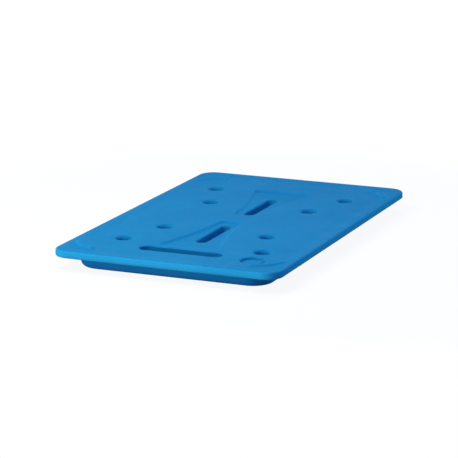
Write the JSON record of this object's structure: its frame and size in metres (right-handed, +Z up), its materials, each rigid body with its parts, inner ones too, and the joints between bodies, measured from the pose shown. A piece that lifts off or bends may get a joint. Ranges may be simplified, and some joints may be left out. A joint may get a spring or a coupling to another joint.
{
  "type": "reusable ice pack",
  "caption": "Full-size flat freezer cold plate: a sealed, gel-filled moulded slab with a flange, a hand slot, stiffening slots and round tack-offs.",
  "frame": {"origin": "centre of the box of the part, at the level of the flat underside that it rests on", "axes": "+Z up out of the top face; +Y along the length, away from the end with the hand slot; +X across the width, towards the filler recess"},
  "size_m": [0.325, 0.53, 0.0294],
  "materials": {
    "shell": "satin blue moulded polyethylene"
  },
  "bodies": {
    "root": {"ice_pack": "shell"}
  },
  "joints": []
}
